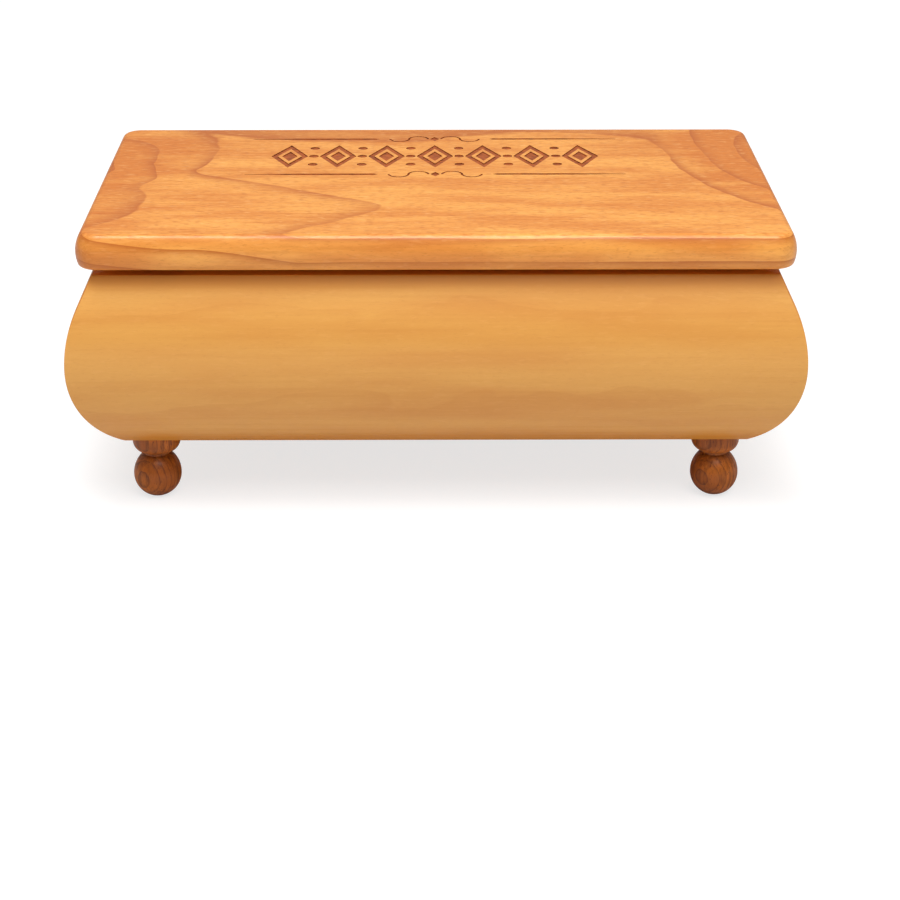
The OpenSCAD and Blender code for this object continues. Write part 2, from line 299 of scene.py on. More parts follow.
@dataclass(frozen=True)
class Eye:
    """A rounded figure in flat-sawn wood, where the growth lines close round a place.

    middle is that place on the board in mm, which may lie past its edge, reach how far the
    figure runs along and across in mm, heading its turn in degrees, and rings by how many
    rings it rises. warmth is how much of the warm colour each ring brings with it, and soft_in
    eases the start of the rise.
    """

    middle: Point
    reach: Point
    heading: float
    rings: float
    warmth: float = 0.55
    soft_in: float = 0.15

    def height(self, pen: Pen, board: Socket) -> Socket:
        """How far a place lies inside the figure.

        Args:
            pen: Writes the material.
            board: The place on the board in mm, fibres along x.

        Returns:
            A value from zero outside to one in the middle.
        """
        local = turned_to(pen, board, self.middle, self.heading)
        flat = pen.vector("MULTIPLY", local, (1 / self.reach[0], 1 / self.reach[1], 0.0))
        inside = pen.math("SUBTRACT", 1.0, pen.vector("LENGTH", flat))
        return pen.math("SMOOTH_MAX", inside, 0.0, self.soft_in)


def turned_to(pen: Pen, board: Socket, middle: Point, heading: float) -> Socket:
    """Looks at a board from one of its places.

    Args:
        pen: Writes the material.
        board: The place on the board in mm, fibres along x.
        middle: Where on the board the new view starts.
        heading: The turn of the view in degrees.

    Returns:
        The place as seen from there.
    """
    turn = (0.0, 0.0, math.radians(heading))
    feeds = {"Vector": board, "Location": (*middle, 0.0), "Rotation": turn}
    return pen.add("ShaderNodeMapping", feeds, vector_type="TEXTURE")


@dataclass(frozen=True)
class Marks:
    """Marks drawn out along the fibres.

    length and width are in mm, detail is how much finer noise is laid over them, and start
    and full are the noise values at which they begin and are complete.
    """

    length: float
    width: float
    detail: float
    start: float
    full: float

    def draw(self, pen: Pen, board: Socket) -> Socket:
        """Draws the marks.

        Args:
            pen: Writes the material.
            board: The place on the board in mm, fibres along x.

        Returns:
            A pattern from zero to one.
        """
        sizes = (1 / self.length, 1 / self.width, 1 / self.width)
        scaled = pen.add("ShaderNodeMapping", {"Vector": board, "Scale": sizes})
        cloud = pen.noise(scaled, 1.0, self.detail, Roughness=0.55)
        return pen.ramp(cloud, (self.start, self.full), smooth=True)


@dataclass(frozen=True)
class LacqueredWood(Finish):
    """Solid hardwood under a satin lacquer: growth lines, fine streaks and short dark pores.

    The eye gets a warm body colour that drifts along the board, late wood that darkens slowly
    and stops sharply at each growth line, and a low even gloss that shows along the rounded
    edges. Flecks and pores are drawn wider than real, to show from a step away. Lengths are
    in mm, rings are counted for each mm, and each show says how strongly its marks show.
    """

    grain: Grain = Grain.LENGTHWISE
    origin: Spot = (0.0, 0.0, 0.0)
    body: str = "#e6a862"
    warm: str = "#dd9550"
    late: str = "#c4702c"
    pore: str = "#a8622c"
    end: str = "#c98442"
    end_show: float = 0.5
    end_span: Point = (0.6, 1.0)
    figures: tuple[Tongue | Eye, ...] = ()
    phase: float = 0.12
    side_rings: float = 0.0
    depth_rings: float = 0.1
    wobble: float = 0.22
    wobble_length: float = 45.0
    wobble_narrow: float = 2.5
    late_start: float = 0.55
    late_stop: float = 0.98
    late_slowness: float = 2.2
    fading: Marks = Marks(70.0, 24.0, 1.0, 0.3, 0.6)
    ring_show: float = 0.95
    streaks: Marks = Marks(34.0, 1.5, 3.0, 0.45, 0.72)
    streak_show: float = 0.25
    flecks: Marks = Marks(3.4, 0.8, 2.0, 0.48, 0.68)
    fleck_show: float = 0.5
    edge_flecks: float = 0.3
    flat_span: Point = (0.4, 0.9)
    # Pale flecks: partly the wood's own pale figure, partly painted highlight, glints of the
    # lacquer held to faces that look up.
    pale_flecks_and_glints: Marks = Marks(4.42, 0.9, 1.0, 0.42, 0.3)
    pale_fleck_and_glint: str = "#fdc27a"
    pale_fleck_and_glint_show: float = 0.3
    pores: Marks = Marks(2.0, 0.35, 1.0, 0.62, 0.7)
    pore_show: float = 0.3
    drift: Marks = Marks(60.0, 13.0, 2.0, 0.36, 0.64)
    tone_show: float = 0.7
    mitre: float = 0.0
    mitre_glue: str = "#9c4a18"
    mitre_show: float = 0.0
    mitre_span: Point = (68.0, 80.0)
    mitre_edge: Point = (0.75, 0.25)
    # Painted shade: a darker, more saturated colour below the rim and at the turn to the bottom,
    # where these faces lie in shade.
    painted_shade: str = "#cb8026"
    painted_shade_show: float = 0.0
    painted_shade_above: Point = (79.5, 85.0)
    painted_shade_below: Point = (32.0, 25.0)
    roughness: float = 0.5
    rougher: Point = (-0.04, 0.06)
    ior: float = 1.35
    lacquer: float = 0.35
    lacquer_roughness: float = 0.2
    bump_height: float = 0.012

    def draw(self, pen: Pen) -> None:
        """Draws the wood.

        Args:
            pen: Writes the material.
        """
        in_mm = pen.in_mm()
        feeds = {"Vector": in_mm, "Location": self.origin, "Rotation": self.grain.value}
        board = pen.add("ShaderNodeMapping", feeds, vector_type="TEXTURE")
        growth, heart = self._growth(pen, board)
        late = self._late_wood(pen, board, growth)
        facing = pen.add("ShaderNodeTexCoord", out="Normal")
        flat = self._flat_share(pen, facing)
        streak = self.streaks.draw(pen, board)
        fleck = pen.math("MULTIPLY", self.flecks.draw(pen, board), flat)
        # Pale flecks, partly painted highlight, only on faces that look up.
        pale = pen.math("MULTIPLY", self.pale_flecks_and_glints.draw(pen, board), flat)
        pore = self.pores.draw(pen, board)
        drift = self.drift.draw(pen, board)
        tone = pen.math("MULTIPLY_ADD", drift, self.tone_show, heart, clamp=True)
        colour = pen.toned(linear(self.body), tone, self.warm)
        for amount, tint, share in (
            (streak, self.late, self.streak_show),
            (late, self.late, self.ring_show),
            (fleck, self.pore, self.fleck_show),
            (pale, self.pale_fleck_and_glint, self.pale_fleck_and_glint_show),
            (pore, self.pore, self.pore_show),
            (self._end_grain(pen, facing), self.end, self.end_show),
        ):
            colour = pen.toned(colour, amount, tint, share)
        if self.mitre_show:
            line = self._mitre_line(pen, in_mm)
            colour = pen.toned(colour, line, self.mitre_glue, self.mitre_show)
        # Painted shade below the rim and at the turn to the bottom.
        if self.painted_shade_show:
            colour = pen.toned(colour, self._painted_shade(pen, in_mm), self.painted_shade, self.painted_shade_show)
        relief = pen.math("SUBTRACT", fleck, pore)
        less, more = self.rougher
        shine = pen.ramp(streak, (0.0, 1.0), (self.roughness + less, self.roughness + more))
        coat = {"Coat_Weight": self.lacquer, "Coat_Roughness": self.lacquer_roughness}
        pen.principled(colour, shine, relief, (0.5, self.bump_height), IOR=self.ior, **coat)

    def _growth(self, pen: Pen, board: Socket) -> tuple[Socket, Socket]:
        """How many rings the tree had grown at each place in the wood, and how warm its colour is.

        Args:
            pen: Writes the material.
            board: The place on the board in mm, fibres along x.

        Returns:
            The rings, and the share of the warm colour that the figures bring.
        """
        level = pen.vector("DOT_PRODUCT", board, (0.0, self.side_rings, self.depth_rings))
        along = 1 / self.wobble_length
        across = self.wobble_narrow * along
        scaled = pen.add("ShaderNodeMapping", {"Vector": board, "Scale": (along, across, across)})
        waves = pen.noise(scaled, 1.0, 2.5, Roughness=0.45)
        level = pen.math("MULTIPLY_ADD", waves, self.wobble, level)
        level = pen.math("ADD", level, 1 + self.phase - self.wobble / 2)
        heart: Feed = 0.0
        for figure in self.figures:
            inside = figure.height(pen, board)
            level = pen.math("MULTIPLY_ADD", inside, figure.rings, level)
            if figure.warmth:
                warmth = abs(figure.rings) * figure.warmth
                heart = pen.math("MULTIPLY_ADD", inside, warmth, heart)
        return level, heart

    def _late_wood(self, pen: Pen, board: Socket, growth: Socket) -> Socket:
        """The dark part of each ring, which deepens slowly and stops sharply.

        Args:
            pen: Writes the material.
            board: The place on the board in mm, fibres along x.
            growth: The rings grown.

        Returns:
            A value from zero to one.
        """
        part = pen.math("FRACT", growth)
        rise = pen.ramp(part, (self.late_start, self.late_stop))
        rise = pen.math("POWER", rise, self.late_slowness)
        stop = pen.ramp(part, (1.0, self.late_stop - 0.01), smooth=True)
        share = pen.ramp(self.fading.draw(pen, board), (0.0, 1.0), (0.6, 1.0))
        return pen.math("MULTIPLY", pen.math("MULTIPLY", rise, stop), share)

    def _flat_share(self, pen: Pen, facing: Socket) -> Socket:
        """How far a face looks up, as the flecks show most there and less on edges and undersides;
        the pale flecks held to upward faces are partly painted highlight.

        Args:
            pen: Writes the material.
            facing: Which way the face looks.

        Returns:
            A value from zero to one.
        """
        up = pen.add("ShaderNodeSeparateXYZ", {0: facing}, "Z")
        return pen.ramp(up, self.flat_span, (self.edge_flecks, 1.0))

    def _end_grain(self, pen: Pen, facing: Socket) -> Socket:
        """Where a face cuts the fibres across, which soaks up more lacquer and looks darker.

        Args:
            pen: Writes the material.
            facing: Which way the face looks.

        Returns:
            A value from zero to one.
        """
        fibres = Euler(self.grain.value).to_matrix() @ Vector((1.0, 0.0, 0.0))
        cut = pen.math("ABSOLUTE", pen.vector("DOT_PRODUCT", facing, fibres))
        return pen.ramp(cut, self.end_span, smooth=True)

    def _painted_shade(self, pen: Pen, in_mm: Socket) -> Socket:
        """Painted shade: a darker, more saturated colour below the rim, where the lid's overhang
        shades the moulding, and at the turn to the bottom, which faces down.

        Args:
            pen: Writes the material.
            in_mm: The place on the box in mm.

        Returns:
            A value from zero to one.
        """
        height = pen.add("ShaderNodeSeparateXYZ", {0: in_mm}, "Z")
        spans = (self.painted_shade_above, self.painted_shade_below)
        return pen.math("MAXIMUM", *(pen.ramp(height, span, smooth=True) for span in spans))

    def _mitre_line(self, pen: Pen, in_mm: Socket) -> Socket:
        """The thin dark glue line where two mouldings meet in a mitre.

        Args:
            pen: Writes the material.
            in_mm: The place on the box in mm.

        Returns:
            A value from zero to one.
        """
        sizes = pen.vector("ABSOLUTE", in_mm)
        apart = pen.vector("DOT_PRODUCT", sizes, (1.0, -1.0, 0.0))
        away = pen.math("ABSOLUTE", pen.math("SUBTRACT", apart, self.mitre))
        line = pen.ramp(away, self.mitre_edge, smooth=True)
        height = pen.add("ShaderNodeSeparateXYZ", {0: in_mm}, "Z")
        return pen.math("MULTIPLY", line, pen.ramp(height, self.mitre_span))


@dataclass(frozen=True)
class ScorchedWood(Finish):
    """Wood burnt away by a laser: a matt red-brown floor with the faint lines of the passes.

    The passes are drawn coarser than real, to show from a step away. pass_width is in mm.
    """

    light: str = "#a9551f"
    dark: str = "#7f3a12"
    pass_width: float = 0.6

    def draw(self, pen: Pen) -> None:
        """Draws the burnt wood.

        Args:
            pen: Writes the material.
        """
        in_mm = pen.in_mm()
        drawn_out = {"Vector": in_mm, "Scale": (0.35, 1 / self.pass_width, 1.0)}
        passes = pen.noise(pen.add("ShaderNodeMapping", drawn_out), 1.0, 3.0)
        both = pen.math("MULTIPLY", passes, pen.noise(in_mm, 0.5, 2.0))
        colour = pen.toned(linear(self.light), pen.ramp(both, (0.16, 0.36)), self.dark)
        pen.principled(colour, 0.7, passes, (0.4, 0.03))


@dataclass(frozen=True)
class PlatedMetal(Finish):
    """Polished or plated metal: bright, with faint rubbing marks and a slow drift in its tone."""

    bright: str
    dull: str
    roughness: float
    rub_length: float = 6.0
    rub_width: float = 0.25

    def draw(self, pen: Pen) -> None:
        """Draws the metal.

        Args:
            pen: Writes the material.
        """
        in_mm = pen.in_mm()
        sizes = (1 / self.rub_length, 1 / self.rub_width, 1 / self.rub_width)
        rubs = pen.noise(pen.add("ShaderNodeMapping", {"Vector": in_mm, "Scale": sizes}), 1.0, 4.0)
        drift = pen.ramp(pen.noise(in_mm, 0.22, 2.0), (0.4, 0.7))
        colour = pen.toned(linear(self.bright), drift, self.dull)
        shine = pen.ramp(rubs, (0.3, 0.7), (self.roughness * 0.7, self.roughness * 1.5))
        pen.principled(colour, shine, rubs, (0.25, 0.01), Metallic=1.0)


@dataclass(frozen=True)
class PressedFelt(Finish):
    """Wool felt: matted fibres in slightly different shades, no gloss, a pale bloom at the edges.

    The fibres are drawn coarser than real, to show from a step away. fibre_width is in mm.
    """

    body: str = "#c4460e"
    shade: str = "#a03209"
    fleck: str = "#dc6420"
    fibre_width: float = 0.35

    def draw(self, pen: Pen) -> None:
        """Draws the felt.

        Args:
            pen: Writes the material.
        """
        in_mm = pen.in_mm()
        matted = pen.noise(in_mm, 1 / (4 * self.fibre_width), 4.0, Distortion=2.0)
        fibres = pen.noise(in_mm, 1 / self.fibre_width, 2.0, Distortion=3.5)
        patches = pen.noise(in_mm, 0.05, 2.0)
        colour = pen.toned(linear(self.body), pen.ramp(matted, (0.35, 0.68)), self.shade)
        colour = pen.toned(colour, pen.ramp(fibres, (0.55, 0.72), (0.0, 0.4)), self.fleck)
        colour = pen.toned(colour, pen.ramp(patches, (0.4, 0.65), (0.0, 0.25)), self.shade)
        relief = pen.math("ADD", fibres, matted)
        sheen = {"Sheen_Weight": 0.2, "Sheen_Roughness": 0.45, "Sheen_Tint": linear(self.fleck)}
        pen.principled(colour, 0.95, relief, (0.7, 0.12), Specular_IOR_Level=0.15, **sheen)


@dataclass(frozen=True)
class PaleFloor(Finish):
    """A plain pale floor: near white to the camera, duller in reflections and as a bounce."""

    shadow: float = 0.34
    glow: float = 0.73
    bounce: float = 0.75

    def draw(self, pen: Pen) -> None:
        """Draws the floor.

        Args:
            pen: Writes the material.
        """
        paths = pen.add("ShaderNodeLightPath").node.outputs
        seen = pen.math("MAXIMUM", paths["Is Camera Ray"], paths["Is Transmission Ray"])
        shadow = pen.add("ShaderNodeBsdfDiffuse", {"Color": (*(self.shadow,) * 3, 1.0)})
        glow = pen.add("ShaderNodeEmission", {"Color": (1.0,) * 4, "Strength": self.glow})
        pale = pen.add("ShaderNodeAddShader", {0: shadow, 1: glow})
        bounce = pen.add("ShaderNodeBsdfDiffuse", {"Color": (*(self.bounce,) * 3, 1.0)})
        shader = pen.add("ShaderNodeMixShader", {0: seen, 1: bounce, 2: pale})
        pen.add("ShaderNodeOutputMaterial", {"Surface": shader})


class GeometryTree(Pen):
    """A geometry node tree with named inputs that is run on a base mesh and leaves a plain mesh."""

    KINDS = {
        float: "NodeSocketFloat",
        int: "NodeSocketInt",
        tuple: "NodeSocketVector",
        Material: "NodeSocketMaterial",
    }

    def __init__(self, name: str, **inputs: type) -> None:
        """Makes the tree and its inputs, with one for the finish besides.

        Args:
            name: The tree's name.
            **inputs: Each named input and the kind of value that it takes.
        """
        super().__init__(bpy.data.node_groups.new(name, "GeometryNodeTree"))
        sockets = self.tree.interface
        sockets.new_socket("Geometry", in_out="INPUT", socket_type="NodeSocketGeometry")
        self.identifiers = {
            key: sockets.new_socket(
                key.replace("_", " ").capitalize(), in_out="INPUT", socket_type=self.KINDS[kind]
            ).identifier
            for key, kind in {**inputs, "finish": Material}.items()
        }
        sockets.new_socket("Geometry", in_out="OUTPUT", socket_type="NodeSocketGeometry")
        self.given = self.add("NodeGroupInput").node.outputs

    def end(self, geometry: Socket) -> None:
        """Closes the tree with Realize Instances and Set Material.

        Args:
            geometry: The shape that the tree makes.
        """
        real = self.add("GeometryNodeRealizeInstances", {"Geometry": geometry})
        feeds = {"Geometry": real, "Material": self.given["Finish"]}
        self.add("NodeGroupOutput", {0: self.add("GeometryNodeSetMaterial", feeds)})

    def run(self, base: Mesh, **values: Feed) -> Mesh:
        """Runs the tree on a base mesh.

        Args:
            base: The mesh that it starts from.
            **values: Each input's value under the input's name.

        Returns:
            A plain mesh with its faces outwards.
        """
        holder = bpy.data.objects.new("holder", base)
        modifier = holder.modifiers.new("tree", "NODES")
        modifier.node_group = self.tree
        for key, identifier in self.identifiers.items():
            modifier[identifier] = values[key]
        return outward(evaluated(holder))


def outward(mesh: Mesh) -> Mesh:
    """Merges a mesh's doubles and turns its faces outwards.

    Args:
        mesh: A closed mesh.

    Returns:
        The same mesh.
    """
    work = bmesh.new()
    work.from_mesh(mesh)
    bmesh.ops.remove_doubles(work, verts=work.verts, dist=0.0002 * MM)
    bmesh.ops.recalc_face_normals(work, faces=work.faces)
    work.to_mesh(mesh)
    work.free()
    return mesh


def evaluated(piece: bpy.types.Object, *helpers: bpy.types.Object) -> Mesh:
    """Takes the mesh that an object's modifiers make of it, and clears the object away.

    Args:
        piece: The object with its modifiers.
        *helpers: Objects that the modifiers need.

    Returns:
        A plain mesh.
    """
    used = (piece, *helpers)
    for each in used:
        bpy.context.scene.collection.objects.link(each)
    graph = bpy.context.evaluated_depsgraph_get()
    made = bpy.data.meshes.new_from_object(piece.evaluated_get(graph), depsgraph=graph)
    for each in used:
        bpy.data.objects.remove(each)
    return made


def lathe_tree() -> GeometryTree:
    """The tree that turns an outline round the upright axis.

    Returns:
        The tree, whose base mesh is the outline's points as radius, zero and height.
    """
    tree = GeometryTree("lathe", points=int, steps=int, centre=tuple)
    given = tree.given
    round_count = tree.math("ADD", given["Steps"], 1.0)
    feeds = {"Size X": 1.0, "Size Y": 1.0, "Vertices X": round_count, "Vertices Y": given["Points"]}
    grid = tree.add("GeometryNodeMeshGrid", feeds)
    place = tree.add("GeometryNodeInputPosition")
    share = tree.add("ShaderNodeSeparateXYZ", {0: tree.vector("ADD", place, (0.5, 0.5, 0.0))}, "X")
    last = tree.math("SUBTRACT", given["Points"], 1.0)
    number = tree.math("ROUND", tree.math("MULTIPLY", share.node.outputs["Y"], last))
    feeds = {0: given["Geometry"], 1: place, "Index": number}
    point = tree.add("GeometryNodeSampleIndex", feeds, data_type="FLOAT_VECTOR")
    feeds = {"Vector": point, "Angle": tree.math("MULTIPLY", share, math.tau)}
    spun = tree.add("ShaderNodeVectorRotate", feeds, rotation_type="Z_AXIS")
    feeds = {"Geometry": grid, "Position": tree.vector("ADD", spun, given["Centre"])}
    shell = tree.add("GeometryNodeSetPosition", feeds)
    tree.end(tree.add("GeometryNodeMergeByDistance", {"Geometry": shell, "Distance": 0.001 * MM}))
    return tree


def row_tree() -> GeometryTree:
    """The tree that repeats a piece along a line about the middle, tipped over and turned at will.

    Returns:
        The tree, whose base mesh is the piece.
    """
    tree = GeometryTree(
        "row", count=int, pitch=float, middle=tuple, height=float, tip=float, turn=float, seed=int
    )
    given = tree.given
    gaps = tree.math("SUBTRACT", given["Count"], 1.0)
    back = tree.math("MULTIPLY", tree.math("MULTIPLY", gaps, given["Pitch"]), -0.5)
    start = tree.vector("ADD", tree.add("ShaderNodeCombineXYZ", {"X": back}), given["Middle"])
    step = tree.add("ShaderNodeCombineXYZ", {"X": given["Pitch"]})
    feeds = {"Count": given["Count"], "Start Location": start, "Offset": step}
    line = tree.add("GeometryNodeMeshLine", feeds, mode="OFFSET")
    scale = tree.add("ShaderNodeCombineXYZ", {"X": 1.0, "Y": 1.0, "Z": given["Height"]})
    feeds = {2: 0.0, 3: given["Turn"], "Seed": given["Seed"]}
    spin = tree.add("FunctionNodeRandomValue", feeds, 1, data_type="FLOAT")
    angles = tree.add("ShaderNodeCombineXYZ", {"X": given["Tip"], "Z": spin})
    rotation = tree.add("FunctionNodeEulerToRotation", {0: angles})
    feeds = {"Points": line, "Instance": given["Geometry"], "Rotation": rotation, "Scale": scale}
    tree.end(tree.add("GeometryNodeInstanceOnPoints", feeds))
    return tree


def plain_mesh(name: str, points: list[Spot], faces: list = ()) -> Mesh:
    """Makes a mesh from sizes in mm.

    Args:
        name: Its name.
        points: Its points in mm.
        faces: Its faces as the points' numbers.

    Returns:
        The mesh in metres.
    """
    mesh = bpy.data.meshes.new(name)
    mesh.from_pydata([(x * MM, y * MM, z * MM) for x, y, z in points], [], faces)
    return mesh


def band_between(a: int, b: int, count: int) -> list[tuple[int, ...]]:
    """Faces between two closed loops of points.

    Args:
        a: Number of the first loop's first point.
        b: Number of the second loop's first point.
        count: How many points each loop has.

    Returns:
        One four-sided face for each point.
    """
    return [(a + i, a + (i + 1) % count, b + (i + 1) % count, b + i) for i in range(count)]


def carved(mesh: Mesh, cutter_mesh: Mesh) -> Mesh:
    """Cuts one mesh out of another.

    Args:
        mesh: The piece.
        cutter_mesh: What is cut away.

    Returns:
        The piece with its cuts, as a plain mesh.
    """
    piece = bpy.data.objects.new("piece", mesh)
    cutter = bpy.data.objects.new("cutter", cutter_mesh)
    cut = piece.modifiers.new("cut", "BOOLEAN")
    cut.operation = "DIFFERENCE"
    cut.solver = "EXACT"
    cut.use_self = True
    cut.object = cutter
    return evaluated(piece, cutter)


def arc(centre: Point, radius: float, start: float, stop: float, steps: int) -> list[Point]:
    """Points along an arc.

    Args:
        centre: The arc's centre.
        radius: Its radius.
        start: The angle where it starts, in degrees.
        stop: The angle where it stops, in degrees.
        steps: How many steps it takes.

    Returns:
        The points, both ends included.
    """
    angles = [math.radians(start + (stop - start) * i / steps) for i in range(steps + 1)]
    return [(centre[0] + radius * math.cos(a), centre[1] + radius * math.sin(a)) for a in angles]


def finished(mesh: Mesh, name: str, bevel: float = 0.0, crease: float = 30.0) -> bpy.types.Object:
    """Makes an object of a mesh, with smooth shading up to a crease angle and softened edges.

    Args:
        mesh: The mesh, in place.
        name: The piece's name.
        bevel: Width of the softening in mm, or none.
        crease: Edges sharper than this angle in degrees stay sharp.

    Returns:
        The object, in the scene.
    """
    mesh.name = name
    mesh.shade_smooth()
    mesh.set_sharp_from_angle(angle=math.radians(crease))
    piece = bpy.data.objects.new(name, mesh)
    bpy.context.scene.collection.objects.link(piece)
    if bevel:
        soften = piece.modifiers.new("soften", "BEVEL")
        soften.width = bevel * MM
        soften.segments = 2
        soften.limit_method = "ANGLE"
        soften.angle_limit = math.radians(crease)
        soften.harden_normals = True
    return piece


def settle(
    piece: bpy.types.Object,
    body: str,
    materials: list[Material],
    nodes: tuple[str, ...] = (),
) -> bpy.types.Object:
    """Dresses a piece, makes it ride on its body and hides the construction nodes that it replaces.

    Args:
        piece: The object.
        body: The moving body that carries it.
        materials: Its materials in the order of its faces' indices.
        nodes: The construction nodes that it replaces.

    Returns:
        The same object.
    """
    parts = [face.material_index for face in piece.data.polygons]
    piece.data.materials.clear()
    for material in materials:
        piece.data.materials.append(material)
    piece.data.polygons.foreach_set("material_index", parts)
    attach(piece, body)
    if nodes:
        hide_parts(*nodes)
    log.info("%s: %d faces, rides on %s", piece.name, len(piece.data.polygons), body)
    return piece


@dataclass
class BoxBody:
    """The mitred side mouldings and the bottom board, with sizes in mm."""

    rim_l: float = 228.4
    rim_w: float = 127.4
    base_z: float = 23.8
    height: float = 62.3
    rim_t: float = 9.8
    bulge: float = 9.05
    bulge_drop: float = 30.3
    slope_run: float = 9.75
    under_in: float = 16.7
    edge_soft: float = 0.3
    mitre_soft: float = 0.18

    def section(self) -> list[Point]:
        """The moulding's outline: outwards from the rim's outer edge, and height from the floor.

        Returns:
            The closed outline's points in mm.
        """
        rim = self.base_z + self.height
        widest = rim - self.bulge_drop
        upper = (self.bulge**2 + self.bulge_drop**2 - self.slope_run**2) / (2 * self.bulge)
        under = self.height - self.bulge_drop
        lower = (under**2 + self.under_in**2) / (2 * self.under_in)
        foot = math.degrees(math.asin(under / lower))
        reach = math.hypot(upper - self.bulge, self.bulge_drop)
        lean = math.atan2(self.bulge_drop, upper - self.bulge)
        slope = math.degrees(lean - math.acos(upper / reach))
        soft = self.edge_soft
        inner = -self.rim_t
        top_in = arc((inner + soft, rim - soft), soft, 180, 90, 3)
        back = soft * math.tan(math.radians(45 - slope / 2))
        top_out = arc((-back, rim - soft), soft, 90, slope, 4)
        return [
            (inner, self.base_z),
            *top_in,
            *top_out,
            *arc((self.bulge - upper, widest), upper, slope, 0, 22),
            *arc((self.bulge - lower, widest), lower, -2, -foot, 26),
        ]

    def sweep(self) -> GeometryTree:
        """The tree that draws a section out along the box and mitres both ends.

        Returns:
            The tree, whose base mesh is the section as one face in the plane x = 0.
        """
        tree = GeometryTree("moulding", half_run=float, half_span=float, turn=tuple)
        given = tree.given
        feeds = {"Mesh": given["Geometry"], "Offset": (1.0, 0.0, 0.0), "Individual": False}
        drawn = tree.add("GeometryNodeExtrudeMesh", feeds, mode="FACES")
        near_end = tree.add("GeometryNodeFlipFaces", {"Mesh": given["Geometry"]})
        joined = tree.add("GeometryNodeJoinGeometry", {0: drawn})
        tree.tree.links.new(near_end, joined.node.inputs[0])
        feeds = {"Geometry": joined, "Distance": 0.001 * MM}
        closed = tree.add("GeometryNodeMergeByDistance", feeds)
        place = tree.add("GeometryNodeInputPosition")
        along = tree.add("ShaderNodeSeparateXYZ", {0: place}, "X")
        out = tree.math("SUBTRACT", 0.0, along.node.outputs["Y"])
        end = tree.math("MULTIPLY_ADD", along, 2.0, -1.0)
        x = tree.math("MULTIPLY", end, tree.math("ADD", given["Half run"], out))
        y = tree.math("SUBTRACT", 0.0, tree.math("ADD", given["Half span"], out))
        spot = tree.add("ShaderNodeCombineXYZ", {"X": x, "Y": y, "Z": along.node.outputs["Z"]})
        mitred = tree.add("GeometryNodeSetPosition", {"Geometry": closed, "Position": spot})
        feeds = {"Geometry": mitred, "Rotation": given["Turn"]}
        tree.end(tree.add("GeometryNodeTransform", feeds))
        return tree

    def build(self, finishes: Finishes) -> None:
        """Makes the four mouldings and dresses the bottom board.

        Args:
            finishes: The materials by name.
        """
        outline = [(0.0, -out, z) for out, z in self.section()]
        tree = self.sweep()
        runs = {
            "front": (self.rim_l, self.rim_w, 0.0),
            "right": (self.rim_w, self.rim_l, 90.0),
            "rear": (self.rim_l, self.rim_w, 180.0),
            "left": (self.rim_w, self.rim_l, 270.0),
        }
        for side, (run, span, turn) in runs.items():
            base = plain_mesh("section", outline, [range(len(outline))])
            material = finishes[f"{side} moulding"]
            made = tree.run(
                base,
                half_run=run / 2 * MM,
                half_span=span / 2 * MM,
                turn=(0.0, 0.0, math.radians(turn)),
                finish=material,
            )
            piece = finished(made, f"{side}_moulding", self.mitre_soft)
            settle(piece, "base", [material], (f"{side}_side",))
        dress_nodes(finishes["bottom board"], "bottom_board")


def dress_nodes(material: Material, *names: str) -> None:
    """Gives construction nodes that stay in sight their finish.

    Args:
        material: The finish.
        *names: The nodes.
    """
    for name in names:
        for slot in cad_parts[name].material_slots:
            slot.material = material
        log.info("%s: keeps its shape, dressed in %s", name, material.name)


